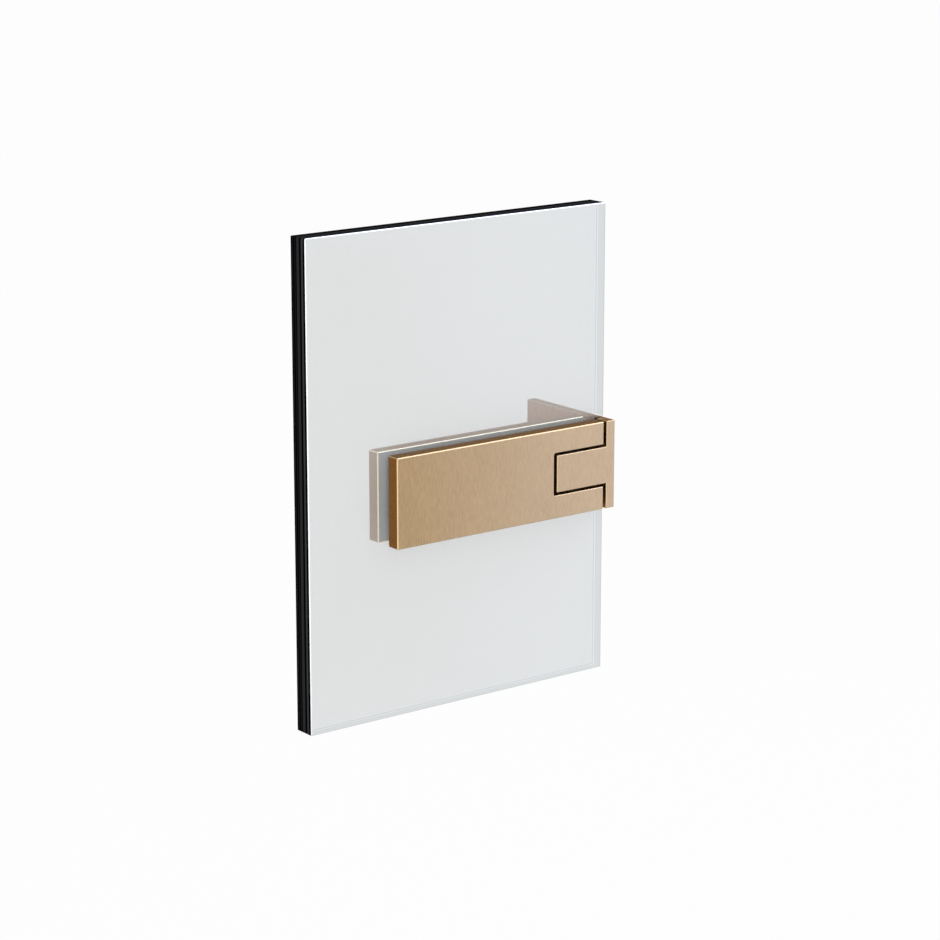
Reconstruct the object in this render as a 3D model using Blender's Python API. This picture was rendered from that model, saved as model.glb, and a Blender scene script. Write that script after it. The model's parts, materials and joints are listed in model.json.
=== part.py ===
"""Rising hinge for a glass door, closed, with a sample pane clamped in its leaf.

Metres, +Z up. The wall is the plane X = 0, and the origin is the centre of the wall plate's back face.
The leaf reaches away from the wall along -X, and the front of the door faces -Y. Opening turns the leaf
about the pin, towards -Y, and the cams on the pin lift it.
"""
import math

import bmesh
import bpy
from mathutils import Matrix, Vector

MM = 0.001

# Pane of door glass
pane_width = 120 * MM
pane_height = 160 * MM
pane_thickness = 8 * MM
pane_below_axis = 72.5 * MM
pane_to_wall = 0.4 * MM
pane_arris = 0.4 * MM
pane_cut_clearance = 0.5 * MM
pane_cut_fillet = 3 * MM
pane_mouth_gap = 0.3 * MM
sweep_clearance = 2 * MM

# Leaf plates and their gaskets
hinge_length = 90 * MM
hinge_height = 30 * MM
outer_plate_thickness = 5 * MM
inner_plate_thickness = 5 * MM
ear_height = 7.75 * MM
visible_gap = 1 * MM
visible_end_gap = 1.35 * MM
fork_corner_radius = 0.8 * MM
edge_chamfer = 0.3 * MM
gap_chamfer = 0.15 * MM
gasket_thickness = 0.4 * MM
gasket_inset = 0.6 * MM

# Wall bracket: a plate on the wall with a tongue that enters the leaf's fork
wall_plate_thickness = 3.5 * MM
wall_plate_depth = 46 * MM
tongue_length = 21.2 * MM
tongue_thickness = 9.5 * MM
wall_hole_radius = 2.3 * MM
wall_hole_head_radius = 4.5 * MM
wall_hole_inset = 6.75 * MM
wall_hole_spacing = 11 * MM

# Pin, bush and cams
axis_from_tongue_end = 9.2 * MM
axis_depth = 4.35 * MM
pin_radius = 2 * MM
pin_flat_depth = 0.6 * MM
pin_upper_reach = 3.35 * MM
pin_lower_reach = 2.95 * MM
pin_tip_chamfer = 0.3 * MM
collar_radius = 2.8 * MM
collar_height = 1.2 * MM
bush_wall = 0.85 * MM
cam_radius = 3.3 * MM
lower_cam_seat_depth = 3 * MM
upper_cam_seat_depth = 2 * MM
rise = 0.8 * MM
opening_angle = math.radians(90)
cam_gap = 0.1 * MM
cam_step_play = math.radians(3)
cam_starts = 2

# Bearing caps, which close the ears' half bores behind the pin
cap_width = 18.4 * MM
cap_height = 4.75 * MM
bore_end_wall = 0.6 * MM
cap_screw_spacing = 12.4 * MM
cap_screw_radius = 1.2 * MM
cap_screw_head_radius = 2.2 * MM
cap_screw_head_height = 1.6 * MM
cap_screw_grip = 2.9 * MM
cap_screw_socket = 1.5 * MM
cap_screw_socket_depth = 0.9 * MM

# Clamp screws through the pane
clamp_screw_inset = 16 * MM
clamp_screw_spacing = 31 * MM
clamp_screw_radius = 2.5 * MM
clamp_head_radius = 4.75 * MM
clamp_head_rim = 0.3 * MM
clamp_screw_grip = 3.8 * MM
clamp_socket = 3 * MM
clamp_socket_depth = 2.3 * MM
clamp_head_sink = 0.1 * MM
sleeve_wall = 1.9 * MM

# Clearances between pieces
seat_gap = 0.05 * MM
running_gap = 0.05 * MM
cam_bore_gap = 0.15 * MM
countersink_gap = 0.07 * MM
hole_gap = 0.25 * MM
screw_end_gap = 0.3 * MM

round_steps = 48
corner_steps = round_steps // 8
half_round_steps = round_steps // 4
quarter_turn = math.radians(90)
level_angle = math.radians(1)
smooth_angle = math.radians(30)
chamfer_angle = math.radians(40)
merge_distance = 0.0001 * MM
cut_past = 1 * MM

# Places along Y, from the front of the door to the back
front_y = -wall_plate_depth / 2
outer_back_y = front_y + outer_plate_thickness
pane_front_y = outer_back_y + gasket_thickness + 2 * seat_gap
pane_back_y = pane_front_y + pane_thickness
inner_front_y = pane_back_y + gasket_thickness + 2 * seat_gap
inner_back_y = inner_front_y + inner_plate_thickness
tongue_back_y = front_y + tongue_thickness
axis_y = front_y + axis_depth

# Places along X, from the wall outwards
wall_plate_x = -wall_plate_thickness
tongue_end_x = wall_plate_x - tongue_length
axis_x = tongue_end_x + axis_from_tongue_end
leaf_right_x = wall_plate_x - visible_end_gap
leaf_left_x = -hinge_length
fork_end_x = tongue_end_x - visible_end_gap
pane_right_x = -pane_to_wall
pane_left_x = pane_right_x - pane_width
sweep_radius = math.hypot(axis_from_tongue_end, axis_depth)
pane_cut_x = axis_x - sweep_radius - sweep_clearance
pane_mouth_x = wall_plate_x - pane_cut_clearance
clamp_screw_x = [leaf_left_x + clamp_screw_inset + n * clamp_screw_spacing for n in range(2)]

# Places along Z, from the hinge's middle
ear_bottom = hinge_height / 2 - ear_height
tongue_top = ear_bottom - visible_gap
cap_top = ear_bottom + cap_height
bore_end = cap_top - bore_end_wall
pane_bottom = -pane_below_axis
pane_top = pane_bottom + pane_height
pane_cut_top = cap_top + pane_cut_clearance
pane_mouth_top = hinge_height / 2 + pane_mouth_gap
pane_mouth_bottom = -hinge_height / 2 - rise - pane_mouth_gap
lower_cam_seat = tongue_top - lower_cam_seat_depth
upper_cam_seat = ear_bottom + upper_cam_seat_depth
collar_top = lower_cam_seat - running_gap
bush_top = collar_top - collar_height - running_gap

# The cam's helix climbs by the rise over the opening angle
cam_climb = rise / opening_angle
cam_turn = 2 * math.pi / cam_starts
cam_low = (tongue_top + ear_bottom - cam_climb * cam_turn - cam_gap) / 2

cap_screw_z = ear_bottom + cap_height / 2
cap_head_sink = cap_screw_head_height + seat_gap * 2
cap_screw_bore_radius = cap_screw_radius + seat_gap
cam_bore_radius = cam_radius + seat_gap
bush_radius = pin_radius + running_gap + bush_wall
sleeve_inner_radius = clamp_screw_radius + 2 * seat_gap
sleeve_outer_radius = sleeve_inner_radius + sleeve_wall

turn_to = {
    "+Z": Matrix.Identity(4),
    "-Y": Matrix.Rotation(quarter_turn, 4, "X"),
    "+Y": Matrix.Rotation(-quarter_turn, 4, "X"),
    "+X": Matrix.Rotation(quarter_turn, 4, "Y"),
}


def clear_scene():
    for old in list(bpy.data.objects):
        bpy.data.objects.remove(old, do_unlink=True)


def make_material(name, colour, roughness, metallic):
    material = bpy.data.materials.new(name)
    material.use_nodes = True
    shader = material.node_tree.nodes["Principled BSDF"]
    shader.inputs["Base Color"].default_value = (*colour, 1)
    shader.inputs["Roughness"].default_value = roughness
    shader.inputs["Metallic"].default_value = metallic
    return material


def make_object(name, bm, place=(0, 0, 0), turn="+Z", smooth=False):
    """Close a mesh with its faces pointing out, and give it to a new object at its place."""
    bmesh.ops.recalc_face_normals(bm, faces=bm.faces)
    mesh = bpy.data.meshes.new(name)
    bm.to_mesh(mesh)
    bm.free()
    if smooth:
        mesh.shade_smooth()
        mesh.set_sharp_from_angle(angle=smooth_angle)
    piece = bpy.data.objects.new(name, mesh)
    piece.matrix_world = Matrix.Translation(place) @ turn_to[turn]
    bpy.context.scene.collection.objects.link(piece)
    return piece


def prism(name, outline, axis, low, high):
    """Extrude an outline along Y (points are X, Z) or along Z (points are X, Y)."""
    bm = bmesh.new()
    if axis == "Y":
        corners = [(x, low, z) for x, z in outline]
        travel = Vector((0, high - low, 0))
    else:
        corners = [(x, y, low) for x, y in outline]
        travel = Vector((0, 0, high - low))
    face = bm.faces.new([bm.verts.new(corner) for corner in corners])
    grown = bmesh.ops.extrude_face_region(bm, geom=[face])
    moved = [part for part in grown["geom"] if isinstance(part, bmesh.types.BMVert)]
    bmesh.ops.translate(bm, verts=moved, vec=travel)
    return make_object(name, bm)


def block(name, low, high):
    outline = [(low[0], low[1]), (high[0], low[1]), (high[0], high[1]), (low[0], high[1])]
    return prism(name, outline, "Z", low[2], high[2])


def turned(name, profile, place, axis, closed=False):
    """Spin a profile of (radius, height) points about its own axis: a solid, or a ring if it is closed."""
    bm = bmesh.new()
    points = [bm.verts.new((radius, 0, height)) for radius, height in profile]
    ends = points[1:] + (points[:1] if closed else [])
    edges = [bm.edges.new(pair) for pair in zip(points, ends)]
    bmesh.ops.spin(
        bm,
        geom=points + edges,
        cent=(0, 0, 0),
        axis=(0, 0, 1),
        angle=2 * math.pi,
        steps=round_steps,
        use_merge=True,
    )
    bmesh.ops.remove_doubles(bm, verts=bm.verts, dist=merge_distance)
    return make_object(name, bm, place, axis, smooth=True)


def rod(name, radius, place, axis, low, high):
    return turned(name, [(0, low), (radius, low), (radius, high), (0, high)], place, axis)


def tube(name, inner, outer, place, axis, low, high):
    profile = [(inner, low), (outer, low), (outer, high), (inner, high)]
    return turned(name, profile, place, axis, closed=True)


def flatted_rod(name, radius, flat, place, low, high):
    """A rod along Z with two flats, facing the front and the back."""
    half_arc = math.asin(flat / radius)
    outline = []
    for side in (0, math.pi):
        for step in range(half_round_steps + 1):
            angle = side - half_arc + 2 * half_arc * step / half_round_steps
            outline.append((place[0] + radius * math.cos(angle), place[1] + radius * math.sin(angle)))
    return prism(name, outline, "Z", low, high)


def hex_key_socket(name, across_flats, place, axis, depth):
    bm = bmesh.new()
    bmesh.ops.create_cone(
        bm,
        cap_ends=True,
        segments=6,
        radius1=across_flats / math.sqrt(3),
        radius2=across_flats / math.sqrt(3),
        depth=depth + cut_past,
        matrix=Matrix.Translation((0, 0, (depth - cut_past) / 2)),
    )
    return make_object(name, bm, place, axis)


def cut(piece, *cutters):
    for cutter in cutters:
        cutter.hide_render = True
        cutter.display_type = "WIRE"
        boolean = piece.modifiers.new("Cut " + cutter.name, "BOOLEAN")
        boolean.operation = "DIFFERENCE"
        boolean.object = cutter


def unite(piece, added):
    """Join a second form to a piece, and dissolve the lines left between faces that lie level."""
    added.hide_render = True
    added.display_type = "WIRE"
    boolean = piece.modifiers.new("Join " + added.name, "BOOLEAN")
    boolean.operation = "UNION"
    boolean.object = added
    level = piece.modifiers.new("Level faces", "DECIMATE")
    level.decimate_type = "DISSOLVE"
    level.angle_limit = level_angle


def break_edges(piece, width):
    bevel = piece.modifiers.new("Edges", "BEVEL")
    bevel.width = width
    bevel.segments = 1
    bevel.limit_method = "ANGLE"
    bevel.angle_limit = chamfer_angle
    return bevel


def narrow_fork_chamfers(piece, bevel):
    """Chamfer the edges along the gap more finely than the others, by a weight on each edge.

    The edges between the short faces that round the fork's inner corners aren't chamfered.
    """
    bevel.limit_method = "WEIGHT"
    weights = piece.data.attributes.new("bevel_weight_edge", "FLOAT", "EDGE")
    for edge in piece.data.edges:
        first, second = (piece.data.vertices[index].co for index in edge.vertices)
        leftmost = min(first.x, second.x)
        at_gap = leftmost > fork_end_x - merge_distance
        in_corner = at_gap and leftmost < fork_end_x + fork_corner_radius + merge_distance
        runs_through = abs(first.y - second.y) > merge_distance
        weight = gap_chamfer / bevel.width if at_gap else 1
        weights.data[edge.index].value = 0 if in_corner and runs_through else weight


def finish(piece, material, carrier=None):
    piece.data.materials.append(material)
    if carrier:
        piece.parent = carrier
        piece.matrix_parent_inverse = Matrix.Translation(-carrier.location)


def slotted_outline(left, right, bottom, top, slots, fillet=0):
    """A rectangle, X by Z, with steps cut into its right side.

    Each slot is (end X, low Z, high Z), the widest one first. The deepest slot's inner corners are round
    where a fillet is given.
    """
    above = [(right, top)]
    below = [(right, bottom)]
    for points, level, hand in ((above, 2, 1), (below, 1, -1)):
        mouth = right
        for slot in slots:
            end, z = slot[0], slot[level]
            points.append((mouth, z))
            if fillet and slot is slots[-1]:
                for step in range(corner_steps + 1):
                    angle = quarter_turn * (1 + step / corner_steps)
                    x = end + fillet + fillet * math.cos(angle)
                    points.append((x, z - hand * fillet * (1 - math.sin(angle))))
            else:
                points.append((end, z))
            mouth = end
    return [(left, top)] + above + below[::-1] + [(left, bottom)]


def cam_ring(name, columns, flat_height, place):
    """A ring with one flat end and one ramped end.

    Each column is (angle, height before, height after); the two heights differ where a ramp ends.
    """
    bm = bmesh.new()
    rings = {}
    for radius in (pin_radius + cam_bore_gap, cam_radius):
        ring = []
        for angle, before, after in columns:
            x = radius * math.cos(angle)
            y = radius * math.sin(angle)
            foot = bm.verts.new((x, y, flat_height))
            first = bm.verts.new((x, y, before))
            second = bm.verts.new((x, y, after)) if after != before else first
            ring.append((foot, first, second))
        rings[radius] = ring
    inner, outer = rings.values()

    def wall(start, end):
        """The foot and ramp points of one side wall, with the step's other point where it lies between."""
        points = [start[0], end[0]]
        reach = abs(end[1].co.z - flat_height)
        if end[2] is not end[1] and abs(end[2].co.z - flat_height) < reach:
            points.append(end[2])
        points += [end[1], start[2]]
        reach = abs(start[2].co.z - flat_height)
        if start[1] is not start[2] and abs(start[1].co.z - flat_height) < reach:
            points.append(start[1])
        bm.faces.new(points)

    for index in range(len(columns)):
        following = (index + 1) % len(columns)
        wall(inner[index], inner[following])
        wall(outer[index], outer[following])
        bm.faces.new((inner[index][0], outer[index][0], outer[following][0], inner[following][0]))
        bm.faces.new((inner[index][2], outer[index][2], outer[following][1], inner[following][1]))
        if inner[index][1] is not inner[index][2]:
            bm.faces.new((inner[index][1], outer[index][1], outer[index][2], inner[index][2]))
    return make_object(name, bm, place)


def cam_columns(start_play, end_play, height):
    """Ramps about the pin, each with a landing of start_play before it and ending end_play early."""
    columns = []
    steps = round_steps // cam_starts
    ramp = cam_turn - end_play
    for start in range(cam_starts):
        base = start * cam_turn
        columns.append((base - start_play, height + cam_climb * ramp, height))
        first = 0 if start_play else 1
        for step in range(first, steps):
            angle = ramp * step / steps
            columns.append((base + angle, height + cam_climb * angle, height + cam_climb * angle))
    return columns


def countersunk_profile(head_radius, rim, radius, length, extra, start):
    """A flat head with a 90 degree cone over a round shank; extra widens it into the hole for it."""
    cone_end = rim + head_radius + extra - radius
    return [
        (0, start),
        (head_radius + extra, start),
        (head_radius + extra, rim),
        (radius, cone_end),
        (radius, length),
        (0, length),
    ]


clear_scene()
champagne = make_material("champagne_brass", (0.60, 0.45, 0.29), 0.34, 1)
steel = make_material("stainless_steel", (0.56, 0.56, 0.55), 0.3, 1)
hardened = make_material("hardened_steel", (0.12, 0.12, 0.13), 0.35, 1)
rubber = make_material("grey_gasket", (0.07, 0.082, 0.092), 0.8, 0)
plastic = make_material("white_acetal", (0.78, 0.78, 0.75), 0.45, 0)
glass = make_material("door_glass", (0.74, 0.78, 0.78), 0.05, 0)

# The leaf and the pin turn about this empty
leaf = bpy.data.objects.new("leaf_axis", None)
leaf.location = (axis_x, axis_y, 0)
bpy.context.scene.collection.objects.link(leaf)
axis = (axis_x, axis_y, 0)


def add_wall_bracket():
    bracket = block(
        "wall_bracket",
        (wall_plate_x, front_y, -hinge_height / 2),
        (0, front_y + wall_plate_depth, hinge_height / 2),
    )
    root_x = wall_plate_x / 2
    round_end = math.asin(min(1, (tongue_back_y - axis_y) / axis_from_tongue_end))
    outline = [(root_x, front_y), (tongue_end_x, front_y)]
    for step in range(corner_steps + 1):
        angle = math.pi - round_end * step / corner_steps
        x = axis_x + axis_from_tongue_end * math.cos(angle)
        outline.append((x, axis_y + axis_from_tongue_end * math.sin(angle)))
    outline.append((root_x, tongue_back_y))
    unite(bracket, prism("tongue_form", outline, "Z", -tongue_top, tongue_top))
    break_edges(bracket, gap_chamfer)
    bush_bore = rod("bush_bore", bush_radius + seat_gap, axis, "+Z", -ear_bottom, ear_bottom)
    cam_bore = rod("lower_cam_bore", cam_bore_radius, axis, "+Z", lower_cam_seat, ear_bottom)
    cut(bracket, bush_bore, cam_bore)
    rear_y = front_y + wall_plate_depth - wall_hole_inset
    for number in range(2):
        place = (wall_plate_x, rear_y - number * wall_hole_spacing, 0)
        profile = countersunk_profile(
            wall_hole_head_radius, 0, wall_hole_radius, wall_plate_thickness + cut_past, 0, -cut_past
        )
        cut(bracket, turned("wall_hole_%d" % (number + 1), profile, place, "+X"))
    finish(bracket, champagne)


def add_bush_and_pin():
    bush = tube(
        "tongue_bush", pin_radius + running_gap, bush_radius, axis, "+Z", seat_gap - tongue_top, bush_top
    )
    finish(bush, plastic)
    pin_top = ear_bottom + pin_upper_reach
    pin_bottom = -ear_bottom - pin_lower_reach
    collar_bottom = collar_top - collar_height
    profile = [
        (0, pin_bottom),
        (pin_radius - pin_tip_chamfer, pin_bottom),
        (pin_radius, pin_bottom + pin_tip_chamfer),
        (pin_radius, collar_bottom),
        (collar_radius, collar_bottom),
        (collar_radius, collar_top),
        (pin_radius, collar_top),
        (pin_radius, pin_top - pin_tip_chamfer),
        (pin_radius - pin_tip_chamfer, pin_top),
        (0, pin_top),
    ]
    pin = turned("pivot_pin", profile, axis, "+Z")
    flat = pin_radius - pin_flat_depth
    for side, facing in ((-1, "front"), (1, "back")):
        for low, high, end in ((tongue_top, pin_top, "top"), (pin_bottom, -tongue_top, "bottom")):
            faces_y = sorted((axis_y + side * flat, axis_y + side * 2 * pin_radius))
            low_z = low - (cut_past if end == "bottom" else 0)
            high_z = high + (cut_past if end == "top" else 0)
            corners = (axis_x - 2 * pin_radius, faces_y[0], low_z), (axis_x + 2 * pin_radius, faces_y[1], high_z)
            cut(pin, block("pin_flat_%s_%s" % (facing, end), *corners))
    finish(pin, hardened, leaf)


def add_cams():
    lower = cam_ring(
        "lower_cam", cam_columns(cam_step_play, cam_step_play, cam_low), lower_cam_seat + seat_gap, axis
    )
    finish(lower, hardened)
    upper = cam_ring("upper_cam", cam_columns(0, 0, cam_low + cam_gap), upper_cam_seat - seat_gap, axis)
    finish(upper, hardened, leaf)


def ear_voids(side):
    """The spaces for the pin's flatted end and, in the upper ear, for the cam."""
    bore_radius = pin_radius + running_gap
    bore_flat = pin_radius - pin_flat_depth + running_gap
    if side > 0:
        end_bore = flatted_rod("upper_pin_bore", bore_radius, bore_flat, axis, ear_bottom, bore_end)
        cam_bore = rod("upper_cam_bore", cam_bore_radius, axis, "+Z", tongue_top, upper_cam_seat)
        return [cam_bore, end_bore]
    return [flatted_rod("lower_pin_bore", bore_radius, bore_flat, axis, -bore_end, -tongue_top)]


def add_outer_plate_and_caps():
    plate = prism(
        "outer_plate",
        slotted_outline(
            leaf_left_x,
            leaf_right_x,
            -hinge_height / 2,
            hinge_height / 2,
            [(fork_end_x, -ear_bottom, ear_bottom)],
            fork_corner_radius,
        ),
        "Y",
        front_y,
        outer_back_y,
    )
    narrow_fork_chamfers(plate, break_edges(plate, edge_chamfer))
    half_width = cap_width / 2
    for side, ear in ((1, "upper"), (-1, "lower")):
        near_z, far_z = side * ear_bottom, side * cap_top
        low_z, high_z = min(near_z, far_z), max(near_z, far_z)
        cap = block(
            ear + "_bearing_cap",
            (axis_x - half_width, axis_y + seat_gap, low_z),
            (axis_x + half_width, tongue_back_y, high_z),
        )
        break_edges(cap, gap_chamfer)
        pocket_ends = sorted((side * tongue_top, side * (cap_top + seat_gap)))
        pocket = block(
            ear + "_cap_pocket",
            (axis_x - half_width - seat_gap, axis_y, pocket_ends[0]),
            (axis_x + half_width + seat_gap, tongue_back_y + cut_past, pocket_ends[1]),
        )
        voids = ear_voids(side)
        cut(plate, pocket, *voids)
        cut(cap, *voids)
        for hand, end in ((-1, "left"), (1, "right")):
            name = "%s_%s_cap_screw" % (ear, end)
            place = (axis_x + hand * cap_screw_spacing / 2, tongue_back_y, side * cap_screw_z)
            add_cap_screw(name, place, plate, cap)
        finish(cap, champagne, leaf)
    for number, x in enumerate(clamp_screw_x):
        depth = clamp_screw_grip + screw_end_gap
        place = (x, outer_back_y, 0)
        tapped = rod(
            "outer_plate_thread_%d" % (number + 1), clamp_screw_radius + seat_gap, place, "-Y", -cut_past, depth
        )
        cut(plate, tapped)
    finish(plate, champagne, leaf)


def add_cap_screw(name, place, plate, cap):
    """A small socket head screw, sunk in the cap's back, and the holes for it in the cap and the plate."""
    head_top = seat_gap
    head_bottom = head_top + cap_screw_head_height
    length = tongue_back_y - axis_y + cap_screw_grip
    profile = [
        (0, head_top),
        (cap_screw_head_radius, head_top),
        (cap_screw_head_radius, head_bottom),
        (cap_screw_radius, head_bottom),
        (cap_screw_radius, length),
        (0, length),
    ]
    screw = turned(name, profile, place, "-Y")
    key = hex_key_socket(
        name + "_socket", cap_screw_socket, place, "-Y", head_top + cap_screw_socket_depth
    )
    cut(screw, key)
    finish(screw, steel, leaf)
    hole_end = length + screw_end_gap
    bore_profile = [
        (0, -cut_past),
        (cap_screw_head_radius + seat_gap, -cut_past),
        (cap_screw_head_radius + seat_gap, cap_head_sink),
        (cap_screw_bore_radius, cap_head_sink),
        (cap_screw_bore_radius, hole_end),
        (0, hole_end),
    ]
    bore = turned(name + "_bore", bore_profile, place, "-Y")
    cut(cap, bore)
    cut(plate, bore)


def add_inner_plate():
    plate = block(
        "inner_plate",
        (leaf_left_x, inner_front_y, -hinge_height / 2),
        (leaf_right_x, inner_back_y, hinge_height / 2),
    )
    break_edges(plate, edge_chamfer)
    for number, x in enumerate(clamp_screw_x):
        profile = countersunk_profile(
            clamp_head_radius,
            clamp_head_rim + clamp_head_sink,
            clamp_screw_radius + hole_gap,
            inner_plate_thickness + cut_past,
            countersink_gap,
            -cut_past,
        )
        cut(plate, turned("inner_plate_hole_%d" % (number + 1), profile, (x, inner_back_y, 0), "-Y"))
    finish(plate, champagne, leaf)


def add_clamp_screws():
    for number, x in enumerate(clamp_screw_x):
        name = "clamp_screw_%d" % (number + 1)
        place = (x, inner_back_y - clamp_head_sink, 0)
        length = place[1] - outer_back_y + clamp_screw_grip
        profile = countersunk_profile(clamp_head_radius, clamp_head_rim, clamp_screw_radius, length, 0, 0)
        screw = turned(name, profile, place, "-Y")
        cut(screw, hex_key_socket(name + "_socket", clamp_socket, place, "-Y", clamp_socket_depth))
        finish(screw, steel, leaf)


def add_pane_and_sleeves():
    outline = slotted_outline(
        pane_left_x,
        pane_right_x,
        pane_bottom,
        pane_top,
        [(pane_mouth_x, pane_mouth_bottom, pane_mouth_top), (pane_cut_x, -pane_cut_top, pane_cut_top)],
        pane_cut_fillet,
    )
    pane = prism("glass_panel", outline, "Y", pane_front_y, pane_back_y)
    break_edges(pane, pane_arris)
    for number, x in enumerate(clamp_screw_x):
        place = (x, pane_front_y, 0)
        name = "glass_sleeve_%d" % (number + 1)
        sleeve = tube(name, sleeve_inner_radius, sleeve_outer_radius, place, "+Y", 0, pane_thickness)
        finish(sleeve, plastic, leaf)
        hole_radius = sleeve_outer_radius + 2 * seat_gap
        past = pane_thickness + cut_past
        cut(pane, rod("pane_hole_%d" % (number + 1), hole_radius, place, "+Y", -cut_past, past))
    finish(pane, glass, leaf)


def add_gasket(name, low_y):
    outline = slotted_outline(
        leaf_left_x + gasket_inset,
        leaf_right_x - gasket_inset,
        gasket_inset - hinge_height / 2,
        hinge_height / 2 - gasket_inset,
        [(pane_cut_x, -pane_cut_top, pane_cut_top)],
        pane_cut_fillet,
    )
    gasket = prism(name, outline, "Y", low_y, low_y + gasket_thickness)
    for number, x in enumerate(clamp_screw_x):
        past = gasket_thickness + cut_past
        hole = rod(
            "%s_hole_%d" % (name, number + 1), clamp_screw_radius + hole_gap, (x, low_y, 0), "+Y", -cut_past, past
        )
        cut(gasket, hole)
    finish(gasket, rubber, leaf)


add_wall_bracket()
add_bush_and_pin()
add_cams()
add_outer_plate_and_caps()
add_inner_plate()
add_clamp_screws()
add_pane_and_sleeves()
add_gasket("outer_gasket", outer_back_y + seat_gap)
add_gasket("inner_gasket", pane_back_y + seat_gap)
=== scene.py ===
# %% [markdown]
# # A rising hinge for a glass door
#
# The working solids of this hinge are finished already: a forked leaf that clamps the glass, a wall bracket
# whose tongue fills the fork, and the pin and cams inside. This lesson gives them their looks: brushed
# champagne brass, steel, rubber, plastic and glass. The solids are loaded as they are and never moved, so
# the work here is one new piece, the pane, and then materials, light and camera.
#
# All lengths are in metres. The door's front faces -Y, the wall is the plane X = 0, and Z is up. The door is
# closed here, and its free end lies towards -X.

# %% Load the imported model
import json
import math

import bmesh
import bpy
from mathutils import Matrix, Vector


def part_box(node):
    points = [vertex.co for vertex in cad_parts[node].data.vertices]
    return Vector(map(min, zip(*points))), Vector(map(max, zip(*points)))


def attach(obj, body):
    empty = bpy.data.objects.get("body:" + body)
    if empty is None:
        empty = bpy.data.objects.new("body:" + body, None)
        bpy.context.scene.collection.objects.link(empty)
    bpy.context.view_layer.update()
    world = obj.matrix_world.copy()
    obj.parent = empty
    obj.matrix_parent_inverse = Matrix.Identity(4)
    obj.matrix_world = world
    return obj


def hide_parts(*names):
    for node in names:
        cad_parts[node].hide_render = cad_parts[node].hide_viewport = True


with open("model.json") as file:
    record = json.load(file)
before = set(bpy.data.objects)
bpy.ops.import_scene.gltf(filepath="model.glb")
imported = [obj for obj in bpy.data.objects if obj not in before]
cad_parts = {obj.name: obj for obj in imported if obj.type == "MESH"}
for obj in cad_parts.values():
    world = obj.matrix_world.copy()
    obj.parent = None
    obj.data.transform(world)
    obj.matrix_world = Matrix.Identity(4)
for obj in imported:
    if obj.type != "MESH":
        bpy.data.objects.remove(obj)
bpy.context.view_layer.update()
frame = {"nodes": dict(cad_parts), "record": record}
nodes = frame["nodes"]

MM = 0.001
quarter_turn = math.radians(90)

# %% [markdown]
# ## Places to measure from
#
# Every node says where it lies, so the new pane, the cards and the lamps take their places from the solids
# and not from typed numbers. The swing axis and the rise come from the record of the joints.

# %% Measure the solids
pane_low, pane_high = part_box("glass_panel")
plate_low, plate_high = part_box("outer_plate")
cap_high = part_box("upper_bearing_cap")[1]
swing_joint, rise_joint = frame["record"]["behaviour"]["joints"]
swing_axis = Vector(swing_joint["pos_m"])
rise = rise_joint["range_m"][1]
hinge_middle = (plate_low + plate_high) / 2

print("pane from", tuple(round(value / MM, 2) for value in pane_low))
print("pane to", tuple(round(value / MM, 2) for value in pane_high))


def deselect_all():
    """Loading leaves the solids selected, and an operator would act on them too."""
    bpy.ops.object.select_all(action="DESELECT")


def settle(piece_name):
    """Name the new object, and put its place, turn and scale into its mesh."""
    piece = bpy.context.object
    piece.name = piece.data.name = piece_name
    bpy.ops.object.transform_apply(location=True, rotation=True, scale=True)
    return piece


# %% [markdown]
# ## The pane
#
# A door pane is cut from float glass, notched for the hinge, drilled for the clamp screws, ground along its
# edges and then toughened. The notch has a narrow, deep part round the tongue and the bearing caps, and at
# the pane's edge a wide, shallow mouth that the wall plate stands in. The mouth reaches lower than the plate
# by the leaf's rise. The inner corners are rounded, because toughened glass cracks at a sharp inner corner.
#
# It could be a block with a shape cut out of it. Here it starts as a flat sheet that is sliced and opened in
# edit mode, as a glazier marks out a template, and gets its thickness last. That keeps the outline clean.
#
# The notch must clear the tongue while the leaf swings. Seen from the door, the corner at the tongue's free
# end draws a circle about the swing axis, and the notch ends a little way beyond that circle.

# %% Slice the sheet
notch_clearance = 0.5 * MM
mouth_clearance = 0.3 * MM
sweep_clearance = 2 * MM
tongue_reach = 9.2 * MM
fork_gap = 1.35 * MM
pane_thickness = pane_high.y - pane_low.y
notch_half = cap_high.z + notch_clearance
wall_plate_front = plate_high.x + fork_gap
mouth_top = plate_high.z + mouth_clearance
mouth_bottom = plate_low.z - rise - mouth_clearance
notch_end = swing_axis.x - math.hypot(tongue_reach, swing_axis.y - plate_low.y) - sweep_clearance
mouth_end = wall_plate_front - notch_clearance

deselect_all()
bpy.ops.mesh.primitive_plane_add(
    size=1,
    location=((pane_low.x + pane_high.x) / 2, pane_low.y, (pane_low.z + pane_high.z) / 2),
    rotation=(quarter_turn, 0, 0),
)
bpy.context.object.scale = (pane_high.x - pane_low.x, pane_high.z - pane_low.z, 1)
pane = settle("door_pane")

cuts = [((notch_end, 0, 0), (1, 0, 0)), ((mouth_end, 0, 0), (1, 0, 0))]
cuts += [((0, 0, level), (0, 0, 1)) for level in (notch_half, -notch_half, mouth_top, mouth_bottom)]
bpy.ops.object.mode_set(mode="EDIT")
bpy.ops.mesh.select_mode(type="FACE")
for place, normal in cuts:
    bpy.ops.mesh.select_all(action="SELECT")
    bpy.ops.mesh.bisect(plane_co=place, plane_no=normal)
print("the notch reaches to x =", round(notch_end / MM, 2), "mm")
print("its mouth reaches to x =", round(mouth_end / MM, 2), "mm")

# %% [markdown]
# ### Opening the notch
#
# The cuts have divided the sheet into a grid of faces. Those inside the notch are deleted. The other cuts
# are then of no use, so the faces that lie flat beside each other are joined again. The two inner corners
# are rounded while the sheet is still thin, and an extrusion gives it its thickness.

# %% Open the notch
straight_angle_limit = math.radians(1)


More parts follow.
